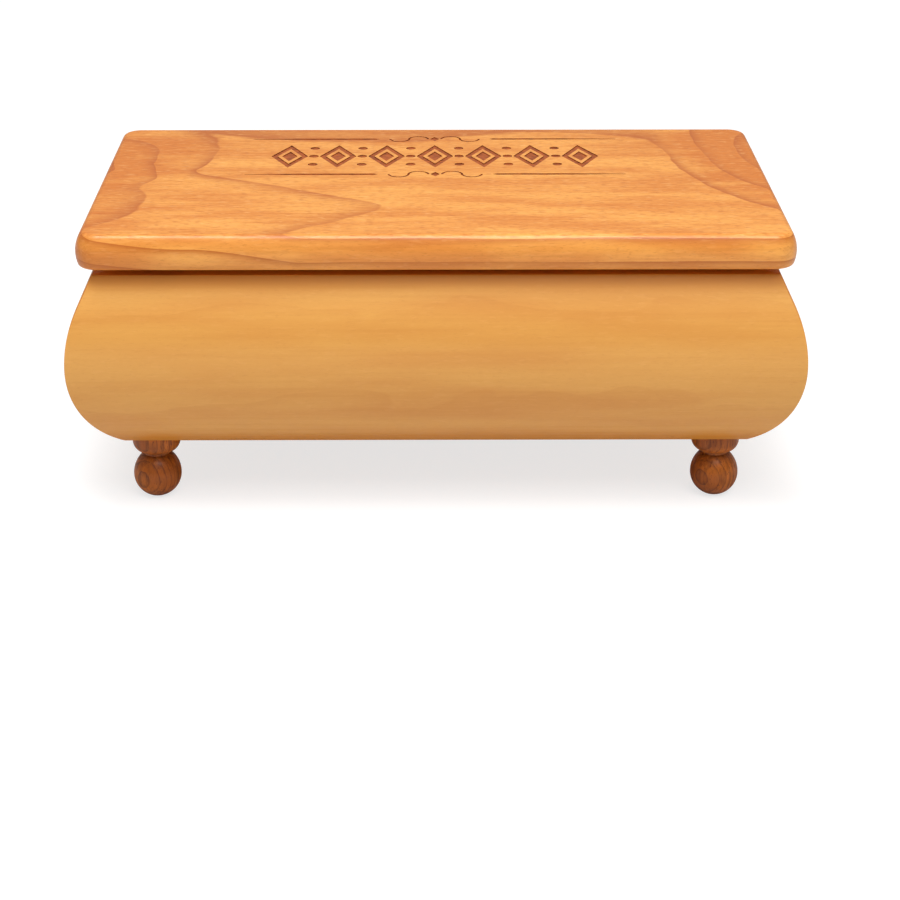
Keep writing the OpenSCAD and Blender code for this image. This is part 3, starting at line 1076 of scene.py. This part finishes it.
@dataclass
class TurnedParts:
    """The feet and the rest pegs, turned on a lathe, with sizes in mm."""

    foot_h: float = 23.8
    ball_r: float = 8.25
    ball_z: float = 8.0
    crown_h: float = 9.15
    neck_r: float = 4.6
    neck_z: float = 16.4
    bowl_h: float = 4.0
    collar_r: float = 8.25
    peg_r: float = 1.8
    soft: float = 0.35
    steps: int = 64

    def foot_outline(self) -> list[Point]:
        """Half the foot's outline as radius and height, from the floor up.

        Returns:
            The points in mm.
        """
        flat = math.degrees(math.asin(self.ball_z / self.ball_r))
        crown = arc((0.0, 0.0), 1.0, 0, math.degrees(math.acos(self.neck_r / self.ball_r)), 18)
        reach = self.collar_r - self.neck_r + 0.4
        bowl = (reach**2 + self.bowl_h**2) / (2 * reach)
        bowl_in = self.collar_r - bowl
        bowl_z = self.neck_z + self.bowl_h
        start = math.degrees(math.acos((self.neck_r - bowl_in) / bowl))
        top = self.foot_h
        return [
            (0.0, 0.0),
            *arc((0.0, self.ball_z), self.ball_r, -flat, -3, 26),
            *[(self.ball_r * x, self.ball_z + self.crown_h * y) for x, y in crown],
            (self.neck_r, self.neck_z),
            *arc((bowl_in, bowl_z), bowl, -start, 0, 12),
            *arc((self.collar_r - self.soft, top - self.soft), self.soft, 0, 90, 4),
            (0.0, top),
        ]

    def peg_outline(self, length: float) -> list[Point]:
        """Half a peg's outline as radius and height.

        Args:
            length: The peg's length in mm.

        Returns:
            The points in mm.
        """
        top = arc((self.peg_r - self.soft, length - self.soft), self.soft, 0, 90, 4)
        return [(0.0, 0.0), (self.peg_r, 0.0), *top, (0.0, length)]

    def turn_piece(
        self,
        tree: GeometryTree,
        outline: list[Point],
        centre: Spot,
        material: Material,
    ) -> Mesh:
        """Turns one outline.

        Args:
            tree: The lathe.
            outline: Radius and height in mm.
            centre: Where the axis meets the outline's zero height, in metres.
            material: The finish.

        Returns:
            The turned mesh in place.
        """
        base = plain_mesh("outline", [(r, 0.0, z) for r, z in outline])
        feeds = {"points": len(outline), "steps": self.steps, "centre": centre}
        return tree.run(base, **feeds, finish=material)

    def build(self, finishes: Finishes) -> None:
        """Makes the feet and the pegs.

        Args:
            finishes: The materials by name.
        """
        tree = lathe_tree()
        names = {
            f"foot_{spot}": (f"turned_foot_{spot}", f"foot {spot}")
            for spot in ("front_left", "front_right", "rear_left", "rear_right")
        }
        names |= {f"rest_peg_{side}": (f"lid_rest_{side}", "peg") for side in ("left", "right")}
        for node, (name, finish) in names.items():
            low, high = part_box(node)
            centre = ((low.x + high.x) / 2, (low.y + high.y) / 2, low.z)
            peg = finish == "peg"
            outline = self.peg_outline((high.z - low.z) / MM) if peg else self.foot_outline()
            made = self.turn_piece(tree, outline, centre, finishes[finish])
            settle(finished(made, name), "base", [finishes[finish]], (node,))


@dataclass
class Lid:
    """The lid board and its engraving, with sizes in mm."""

    length: float = 238.8
    width: float = 137.8
    corner_r: float = 8.0
    edge_r: float = 12.3
    edge_drop: float = 7.0
    top_round: float = 2.5
    under_round: float = 1.5
    corner_steps: int = 12
    band_l: float = 124.0
    band_h: float = 30.0
    band_count: int = 7
    band_back: float = 28.4
    rule_off: float = 23.7
    rule_l: float = 136.0
    line_w: float = 1.6
    engrave_d: float = 0.4
    lozenge_share: float = 0.76
    frame_share: float = 0.66
    heart_share: float = 0.42
    dot_share: float = 0.1
    dot_step: float = 0.36
    dot_steps: int = 24
    rule_start: float = 0.15
    crest_share: float = 0.55
    wave_share: float = 0.026
    wave_steps: int = 14
    rim_share: float = 0.45

    def ring(self, inset: float, z: float) -> list[Spot]:
        """The lid's outline drawn in by an inset, at a height.

        Args:
            inset: How far inside the lid's edge it lies, in mm.
            z: Its height in mm.

        Returns:
            The points in mm, anticlockwise.
        """
        reach = self.corner_r - inset
        x = self.length / 2 - self.corner_r
        y = self.width / 2 - self.corner_r
        corners = ((x, y, 0), (-x, y, 90), (-x, -y, 180), (x, -y, 270))
        turns = (arc((cx, cy), reach, a, a + 90, self.corner_steps) for cx, cy, a in corners)
        return [(px, py, z) for turn in turns for px, py in turn]

    def board(self, low: float, high: float) -> Mesh:
        """The board with its rounded edges and corners.

        Args:
            low: Height of its underside in mm.
            high: Height of its top in mm.

        Returns:
            The mesh in place.
        """
        middle = high - self.edge_drop
        top_run, under_run = self.edge_r - self.top_round, self.edge_r - self.under_round
        over = math.asin((high - middle - self.top_round) / top_run)
        under = math.asin((middle - low - self.under_round) / under_run)
        top_in = self.edge_r - top_run * math.cos(over)
        under_in = self.edge_r - under_run * math.cos(under)
        over, under = math.degrees(over), math.degrees(under)
        edge = [
            (under_in + 0.3, low),
            *arc((under_in, low + self.under_round), self.under_round, 270, 180 + under, 7),
            *arc((self.edge_r, middle), self.edge_r, 180 + under - 4, 180 - over + 4, 10),
            *arc((top_in, high - self.top_round), self.top_round, 180 - over, 90, 9),
            (top_in + 0.3, high),
        ]
        rings = [self.ring(inset, z) for inset, z in edge]
        count = len(rings[0])
        top = (len(rings) - 1) * count
        faces = [tuple(reversed(range(count)))]
        for level in range(0, top, count):
            faces += band_between(level, level + count, count)
        faces.append(tuple(range(top, top + count)))
        return outward(plain_mesh("lid_board", [p for ring in rings for p in ring], faces))

    @staticmethod
    def prisms(outlines: list[list[Point]], holes: dict[int, list[Point]]) -> Mesh:
        """Upright prisms of unit height, as cutters.

        Args:
            outlines: Their outlines in mm.
            holes: For some of them, by number, a hole with as many points as the outline.

        Returns:
            One mesh of all of them, from z = 0 to z = 1.
        """
        verts: list[Spot] = []
        faces: list[tuple[int, ...]] = []
        for number, outline in enumerate(outlines):
            count, start = len(outline), len(verts)
            loops = [outline] + ([holes[number]] if number in holes else [])
            for index, loop in enumerate(loops):
                verts += [(x, y, z) for z in (0.0, 1 / MM) for x, y in loop]
                low = start + 2 * index * count
                faces += band_between(low, low + count, count)
            for low in (start, start + count):
                if len(loops) == 1:
                    faces.append(tuple(range(low, low + count)))
                else:
                    faces += band_between(low, low + 2 * count, count)
        return plain_mesh("cutter", verts, faces)

    @staticmethod
    def lozenge(w: float, h: float, x: float = 0.0, y: float = 0.0) -> list[Point]:
        """A lozenge's corners.

        Args:
            w: Its width.
            h: Its height.
            x: Its middle along the band.
            y: Its middle across the band.

        Returns:
            The four corners.
        """
        return [(x + w / 2, y), (x, y + h / 2), (x - w / 2, y), (x, y - h / 2)]

    def motif(self) -> Mesh:
        """One framed lozenge with a solid heart.

        Returns:
            Its cutter, one unit high.
        """
        w, h = self.lozenge_share * self.band_l / self.band_count, self.band_h
        heart, hole = (self.lozenge(s * w, s * h) for s in (self.heart_share, self.frame_share))
        return self.prisms([self.lozenge(w, h), heart], {0: hole})

    def dots(self) -> Mesh:
        """Three dots above one another.

        Returns:
            Their cutter, one unit high.
        """
        r = self.dot_share * self.band_l / self.band_count
        step = self.dot_step * self.band_h
        last = self.dot_steps - 1
        turn = 360 * last / self.dot_steps
        return self.prisms([arc((0.0, row * step), r, 0, turn, last) for row in (-1, 0, 1)], {})

    def rules(self) -> Mesh:
        """Both rules: each swells in the middle of its halves, with a wave and a lozenge between.

        Returns:
            Their cutter, one unit high.
        """
        inner, outer = self.rule_start * self.rule_l, self.rule_l / 2
        crest = inner + self.crest_share * (outer - inner)
        wave, w = self.wave_share * self.rule_l, self.line_w
        upper = [(inner, 0), (inner + w, w / 2), (crest, w / 2), (outer, w / 8)]
        half = [*upper, *((x, -y) for x, y in upper[:0:-1])]
        humps = [
            [
                *arc((middle * wave, 0.0), wave + w / 4, 0, turn, self.wave_steps),
                *arc((middle * wave, 0.0), wave - w / 4, turn, 0, self.wave_steps),
            ]
            for middle, turn in ((1.7, 180), (3.7, -180))
        ]
        shapes = []
        for y in (-self.rule_off, self.rule_off):
            shapes.append(self.lozenge(0.5 * wave + w, 1.6 * wave, 0.0, y))
            for side in (-1, 1):
                shapes += [[(side * px, py + y) for px, py in shape] for shape in (half, *humps)]
        return self.prisms(shapes, {})

    def engraved(self, mesh: Mesh, high: float, material: Material) -> Mesh:
        """Cuts the engraving into the board and gives its floor and walls the second material.

        Args:
            mesh: The lid board.
            high: Height of its top in mm.
            material: The finish of the cut.

        Returns:
            The engraved board.
        """
        tree = row_tree()
        feeds = {
            "pitch": self.band_l / self.band_count * MM,
            "middle": (0.0, self.band_back * MM, (high - self.engrave_d) * MM),
            "height": 2 * self.engrave_d * MM,
            "tip": 0.0,
            "turn": 0.0,
            "seed": 0,
            "finish": material,
        }
        motifs, dots = self.band_count, self.band_count - 1
        for base, count in ((self.motif(), motifs), (self.dots(), dots), (self.rules(), 1)):
            mesh = carved(mesh, tree.run(base, count=count, **feeds))
        floor = (high - self.engrave_d / 4) * MM
        x, y = self.rim_share * self.length * MM, self.rim_share * self.width * MM
        for face in mesh.polygons:
            inside = floor - self.engrave_d * MM < face.center.z < floor
            face.material_index = int(inside and abs(face.center.x) < x and abs(face.center.y) < y)
        return mesh

    def build(self, finishes: Finishes) -> None:
        """Makes the lid board with its engraving.

        Args:
            finishes: The materials by name.
        """
        low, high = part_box("lid_panel")
        board = self.board(low.z / MM, high.z / MM)
        materials = [finishes["lid"], finishes["engraving"]]
        mesh = self.engraved(board, high.z / MM, materials[1])
        settle(finished(mesh, "lid_board"), "lid", materials, ("lid_panel",))


@dataclass
class Hinges:
    """The two brass hinges and their screws, with sizes in mm."""

    length: float = 38.0
    leaf_w: float = 12.7
    leaf_t: float = 0.75
    corner_r: float = 3.2
    knuckle_r: float = 1.3
    bore_r: float = 0.6
    mid_l: float = 14.0
    end_gap: float = 0.15
    notch: float = 1.6
    pin_rise: float = 1.4
    screw_in: float = 6.6
    screw_end: float = 6.0
    head_r: float = 1.9
    head_rise: float = 0.4
    shank_r: float = 0.9
    screw_l: float = 8.0
    slot_w: float = 0.5
    slot_d: float = 0.35
    soft: float = 0.12
    knuckle_steps: int = 32
    spin_seed: int = 7

    def outline(self, lid_side: bool) -> list[Point]:
        """A leaf's outline: the pin lies along x, and the free edge has round corners.

        Args:
            lid_side: Whether it is the leaf with the middle knuckle.

        Returns:
            The points in mm, anticlockwise.
        """
        x, w, r = self.length / 2, self.leaf_w, self.corner_r
        free = [*arc((x - r, w - r), r, 0, 90, 8), *arc((r - x, w - r), r, 90, 180, 8)]
        a = self.mid_l / 2 - (self.end_gap if lid_side else 0.0)
        ends, middle = (self.notch, 0.0) if lid_side else (0.0, self.notch)
        return [(-x, ends), (-a, ends), (-a, middle), (a, middle), (a, ends), (x, ends), *free]

    def leaf(self, lid_side: bool) -> Mesh:
        """One leaf with its knuckles, lying on the wood at zero.

        Args:
            lid_side: Whether it is the leaf with the middle knuckle.

        Returns:
            The mesh in metres.
        """
        shape = self.outline(lid_side)
        count = len(shape)
        verts = [(x, y, z) for z in (0.0, self.leaf_t) for x, y in shape]
        faces = [tuple(reversed(range(count))), tuple(range(count, 2 * count))]
        faces += band_between(0, count, count)
        half, mid, gap = self.length / 2, self.mid_l / 2, self.end_gap
        spans = [(gap - mid, mid - gap)] if lid_side else [(-half, -mid), (mid, half)]
        steps, outer, bore = self.knuckle_steps, self.knuckle_r, self.bore_r
        for low, high in spans:
            start = len(verts)
            for x, r in ((low, outer), (high, outer), (high, bore), (low, bore)):
                ring = arc((0.0, self.pin_rise), r, 0, 360 - 360 / steps, steps - 1)
                verts += [(x, y, z) for y, z in ring]
            for ring in range(4):
                faces += band_between(start + ring * steps, start + (ring + 1) % 4 * steps, steps)
        return plain_mesh("leaf", verts, faces)

    def screw(self, tree: GeometryTree, material: Material) -> Mesh:
        """A screw with a low domed head and a slot, its head's rim at zero.

        Args:
            tree: The lathe.
            material: The finish.

        Returns:
            The mesh in metres.
        """
        dome = (self.head_r**2 + self.head_rise**2) / (2 * self.head_rise)
        rim = math.degrees(math.acos(self.head_r / dome))
        point = 2.4 * self.shank_r
        profile = [
            (0.0, -self.screw_l),
            (0.2, -self.screw_l),
            (self.shank_r, point - self.screw_l),
            (self.shank_r, -self.leaf_t),
            *arc((0.0, self.head_rise - dome), dome, rim, 90, 6)[:-1],
            (0.0, self.head_rise),
        ]
        base = plain_mesh("profile", [(r, 0.0, z) for r, z in profile])
        feeds = {"points": len(profile), "steps": 40, "centre": (0.0, 0.0, 0.0)}
        turned = tree.run(base, **feeds, finish=material)
        work = bmesh.new()
        bmesh.ops.create_cube(work, size=1.0)
        size = Matrix.Diagonal((3 * self.head_r * MM, self.slot_w * MM, MM, 1.0))
        lift = Matrix.Translation((0.0, 0.0, (self.head_rise - self.slot_d + 0.5) * MM))
        bmesh.ops.transform(work, matrix=lift @ size, verts=work.verts)
        slot = bpy.data.meshes.new("slot")
        work.to_mesh(slot)
        work.free()
        return carved(turned, slot)

    def build(self, finishes: Finishes) -> None:
        """Makes the leaves and their screws, and dresses the pins.

        Args:
            finishes: The materials by name.
        """
        brass = finishes["brass"]
        screw = self.screw(lathe_tree(), brass)
        row = row_tree()
        leaves = [(side, part) for side in ("left", "right") for part in ("base", "lid")]
        for number, (side, part) in enumerate(leaves):
            node = f"hinge_{side}_{part}_leaf"
            low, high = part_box(node)
            over = part == "lid"
            up = -1.0 if over else 1.0
            pin = Vector((
                (low.x + high.x) / 2, high.y - self.knuckle_r * MM, high.z if over else low.z
            ))
            mesh = self.leaf(over)
            mesh.transform(Matrix.Translation(pin) @ Matrix.Diagonal((1.0, -1.0, up, 1.0)))
            leaf = finished(outward(mesh), f"{side}_{part}_leaf", self.soft)
            settle(leaf, part, [brass], (node,))
            pair = row.run(
                screw,
                count=2,
                pitch=(self.length - 2 * self.screw_end) * MM,
                middle=tuple(pin + Vector((0.0, -self.screw_in, up * self.leaf_t)) * MM),
                height=1.0,
                tip=math.pi if over else 0.0,
                turn=math.tau,
                seed=self.spin_seed + number,
                finish=brass,
            )
            screws = finished(pair, f"{side}_{part}_screws")
            settle(screws, part, [brass], (f"hinge_{side}_{part}_screws",))
            dress_nodes(brass, f"hinge_{side}_pin")


@dataclass
class Lining:
    """The felt panels inside the box, with sizes in mm."""

    roll: float = 0.45
    step: float = 1.6
    nap: float = 0.07
    nap_size: float = 2.2
    wave: float = 0.1
    wave_size: float = 17.0

    def panel(self, low: Vector, high: Vector) -> Mesh:
        """A thin panel with rolled edges and a slightly uneven face.

        Args:
            low: Its lowest corner in metres.
            high: Its highest corner in metres.

        Returns:
            The mesh in place.
        """
        roll = self.roll * MM
        lines = []
        for a, b in zip(low, high):
            inner = max(1, round((b - a - 2 * roll) / (self.step * MM)))
            middle = [a + roll + (b - a - 2 * roll) * i / inner for i in range(inner + 1)]
            lines.append([a, a + roll * 0.35, *middle, b - roll * 0.35, b])
        work = bmesh.new()
        counts = [len(line) for line in lines]
        found: dict[tuple[int, int, int], bmesh.types.BMVert] = {}

        def corner(index: tuple[int, int, int]) -> bmesh.types.BMVert:
            """The vertex at a place in the grid, made when first asked for.

            Args:
                index: The place's numbers along the three axes.

            Returns:
                The vertex.
            """
            if index not in found:
                found[index] = work.verts.new([lines[k][index[k]] for k in range(3)])
            return found[index]

        for axis in range(3):
            u, v = (axis + 1) % 3, (axis + 2) % 3
            for level in (0, counts[axis] - 1):
                for i in range(counts[u] - 1):
                    for j in range(counts[v] - 1):
                        loop = []
                        for du, dv in ((0, 0), (1, 0), (1, 1), (0, 1)):
                            index = [0, 0, 0]
                            index[axis], index[u], index[v] = level, i + du, j + dv
                            loop.append(corner(tuple(index)))
                        work.faces.new(loop if level else loop[::-1])
        core_low, core_high = low + Vector((roll,) * 3), high - Vector((roll,) * 3)
        for vert in work.verts:
            core = Vector([min(max(c, a), b) for c, a, b in zip(vert.co, core_low, core_high)])
            away = vert.co - core
            if away.length > 0:
                rough = noise.noise(vert.co / (self.nap_size * MM)) * self.nap
                rough += noise.noise(vert.co / (self.wave_size * MM)) * self.wave
                rough -= self.nap + self.wave
                vert.co = core + away.normalized() * (roll + rough * MM)
        mesh = bpy.data.meshes.new("felt")
        work.to_mesh(mesh)
        work.free()
        return mesh

    def build(self, finishes: Finishes) -> None:
        """Makes the five panels.

        Args:
            finishes: The materials by name.
        """
        for place in ("floor", "front", "rear", "left", "right"):
            low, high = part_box(f"{place}_lining")
            # The front and rear walls take a darker copy of the same felt: painted shade.
            cloth = finishes["felt in painted shade" if place in ("front", "rear") else "felt"]
            panel = finished(self.panel(low, high), f"{place}_felt", crease=60.0)
            piece = settle(panel, "base", [cloth], (f"{place}_lining",))


@dataclass
class Studio:
    """The floor, the white surround, the softboxes and the camera, with lengths in metres."""

    focal_px: float = 2330.0
    frame_px: float = 900.0
    sensor_mm: float = 36.0
    yaw: float = -0.30
    elevation: float = 18.15
    distance: float = 0.836
    target_z: float = 0.0715
    target_px: Point = (435.3, 256.5)
    lit_z: float = 0.06
    floor_half: float = 4.0
    horizon: float = 0.03
    zenith: float = 0.42
    in_gloss: float = 0.15
    in_glass: float = 0.3

    def camera(self) -> None:
        """Sets up the camera at the photograph's angle and framing."""
        data = bpy.data.cameras.new("camera")
        data.sensor_width = self.sensor_mm
        data.lens = self.focal_px * self.sensor_mm / self.frame_px
        data.shift_x = (self.frame_px / 2 - self.target_px[0]) / self.frame_px
        data.shift_y = (self.target_px[1] - self.frame_px / 2) / self.frame_px
        data.clip_start, data.clip_end = 0.01, 20.0
        camera = bpy.data.objects.new("camera", data)
        yaw, up = math.radians(self.yaw), math.radians(self.elevation)
        back = Vector((math.sin(yaw) * math.cos(up), -math.cos(yaw) * math.cos(up), math.sin(up)))
        camera.location = Vector((0.0, 0.0, self.target_z)) + back * self.distance
        camera.rotation_euler = (-back).to_track_quat("-Z", "Y").to_euler()
        bpy.context.scene.collection.objects.link(camera)
        bpy.context.scene.camera = camera

    def softbox(self, name: str, place: Spot, size: float, watts: float) -> None:
        """Adds a square softbox that looks at the box.

        Args:
            name: Its name.
            place: Where it stands.
            size: Its side.
            watts: Its power.
        """
        data = bpy.data.lights.new(name, "AREA")
        data.size = size
        data.energy = watts
        lamp = bpy.data.objects.new(name, data)
        lamp.location = place
        aim = Vector((0.0, 0.0, self.lit_z)) - Vector(place)
        lamp.rotation_euler = aim.to_track_quat("-Z", "Y").to_euler()
        bpy.context.scene.collection.objects.link(lamp)

    def surround(self) -> None:
        """A soft world light from above, pale where the camera or a reflection sees it."""
        world = bpy.data.worlds.new("surround")
        bpy.context.scene.world = world
        world.use_nodes = True
        world.node_tree.nodes.clear()
        pen = Pen(world.node_tree)
        facing = pen.add("ShaderNodeTexCoord", out="Generated")
        up = pen.add("ShaderNodeSeparateXYZ", {0: facing}, "Z")
        sky = pen.ramp(up, (0.0, 0.8), (self.horizon, self.zenith))
        paths = pen.add("ShaderNodeLightPath").node.outputs
        seen = pen.math("MULTIPLY_ADD", paths["Is Glossy Ray"], self.in_gloss, sky)
        seen = pen.math("MULTIPLY_ADD", paths["Is Transmission Ray"], self.in_glass, seen)
        strength = pen.math("MAXIMUM", seen, paths["Is Camera Ray"])
        light = pen.add("ShaderNodeBackground", {"Color": (1.0,) * 4, "Strength": strength})
        pen.add("ShaderNodeOutputWorld", {"Surface": light})

    def floor(self) -> None:
        """The floor that the box stands on, which isn't part of it."""
        half = self.floor_half
        mesh = bpy.data.meshes.new("floor")
        corners = [(-half, -half, 0), (half, -half, 0), (half, half, 0), (-half, half, 0)]
        mesh.from_pydata(corners, [], [(0, 1, 2, 3)])
        mesh.materials.append(PaleFloor("pale_floor").material())
        floor = bpy.data.objects.new("floor", mesh)
        bpy.context.scene.collection.objects.link(floor)

    def build(self) -> None:
        """Sets up everything that isn't part of the box."""
        bpy.context.scene.view_settings.view_transform = "Standard"
        self.camera()
        self.surround()
        self.floor()
        self.softbox("softbox_above", (-0.25, -0.4, 2.0), 1.0, 26.5)
        self.softbox("softbox_front", (0.35, -1.15, 1.85), 1.1, 25.0)


def all_finishes() -> Finishes:
    """Makes every material once.

    Returns:
        The materials by name.
    """
    lid = LacqueredWood(
        "alder_lid",
        origin=(0.0, 0.0, 100.9),
        body="#efa44c",
        warm="#d37b2b",
        late="#b55d1a",
        pore="#b4601a",
        end="#cf7626",
        figures=(
            Tongue((-13.0, -33.5), 180.0, 1.5, skew=0.35, blunt=8.0, depth=30.0, rings=-0.55),
            Eye(middle=(-124.0, 31.0), reach=(46.0, 45.0), heading=0.0, rings=-2.3),
            Eye(middle=(-154.0, -28.0), reach=(78.0, 66.0), heading=0.0, rings=-1.9),
            Eye(middle=(-34.0, 94.0), reach=(110.0, 62.0), heading=0.0, rings=-0.55),
            Eye(middle=(131.0, 27.0), reach=(46.0, 80.0), heading=11.0, rings=-3.6),
            Eye(middle=(86.0, 80.0), reach=(64.0, 42.0), heading=-10.0, rings=-0.5),
        ),
        depth_rings=0.13,
    )
    side = LacqueredWood(
        "alder_front",
        body="#dd9f4d",
        warm="#d38f41",
        late="#c47b30",
        pore="#bf7a38",
        end="#d28a3e",
        mitre=50.5,
        mitre_show=0.55,
        # Painted shade below the rim and at the turn to the bottom.
        painted_shade_show=0.9,
        side_rings=0.02,
        depth_rings=0.03,
        wobble=0.9,
        ring_show=0.25,
        streak_show=0.14,
        streaks=Marks(60.0, 1.5, 3.0, 0.45, 0.72),
        fleck_show=0.22,
        pale_fleck_and_glint_show=0.18,
        pore_show=0.16,
        drift=Marks(110.0, 13.0, 2.0, 0.36, 0.64),
    )
    foot = LacqueredWood(
        "dark_turned_wood",
        grain=Grain.UPRIGHT,
        body="#c1691a",
        warm="#934810",
        late="#522408",
        pore="#3a1607",
        end="#7c3d0d",
        side_rings=0.45,
        depth_rings=0.3,
        wobble=1.3,
        wobble_length=16.0,
        ring_show=0.75,
        streak_show=0.5,
        streaks=Marks(14.0, 1.5, 3.0, 0.45, 0.72),
        fleck_show=0.5,
        # Orange pale flecks on the feet's upward faces, stronger than elsewhere: painted highlight
        # for the lit side of the balls.
        pale_fleck_and_glint="#d8812f",
        pale_fleck_and_glint_show=0.45,
        pore_show=0.5,
        drift=Marks(14.0, 13.0, 2.0, 0.36, 0.64),
        lacquer=0.12,
    )
    cross = replace(side, grain=Grain.CROSSWISE)
    dowel = replace(foot, body="#c8742c", warm="#b5621f", late="#8c4415", end="#a8571e")
    made: dict[str, Finish] = {
        "lid": lid,
        "engraving": ScorchedWood("laser_burnt_wood"),
        "front moulding": side,
        "rear moulding": replace(side, name="alder_rear", origin=(140.0, 20.0, 31.0)),
        "left moulding": replace(cross, name="alder_left", origin=(-90.0, 55.0, 17.0)),
        "right moulding": replace(cross, name="alder_right", origin=(70.0, -35.0, 8.0)),
        "bottom board": replace(side, name="alder_bottom", origin=(30.0, 90.0, 3.0), ring_show=0.5),
        "peg": replace(dowel, name="dowel_wood"),
        "brass": PlatedMetal("polished_brass", "#e8c06a", "#c99a45", 0.16),
        "steel": PlatedMetal("zinc_plated_steel", "#c3c7cb", "#a7a9a4", 0.32),
        "felt": PressedFelt("rust_felt"),
        # A darker copy of the rust felt for the front and rear walls: painted shade.
        "felt in painted shade": PressedFelt("rust_felt_in_painted_shade", body="#7c2215", shade="#5c1812", fleck="#9c3a22"),
    }
    for number, spot in enumerate(("front_left", "front_right", "rear_left", "rear_right")):
        origin = (40.0 * number, 9.0, 31.0 * number)
        made[f"foot {spot}"] = replace(foot, name=f"dark_turned_wood_{spot}", origin=origin)
    return {label: finish.material() for label, finish in made.items()}


def main() -> None:
    """Builds the studio and the box."""
    logging.basicConfig(level=logging.INFO, format="%(message)s")
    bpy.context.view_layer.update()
    Studio().build()
    finishes = all_finishes()
    BoxBody().build(finishes)
    TurnedParts().build(finishes)
    Lid().build(finishes)
    Hinges().build(finishes)
    Lining().build(finishes)
    dress_nodes(finishes["steel"], "foot_screws")


if __name__ == "__main__":
    main()
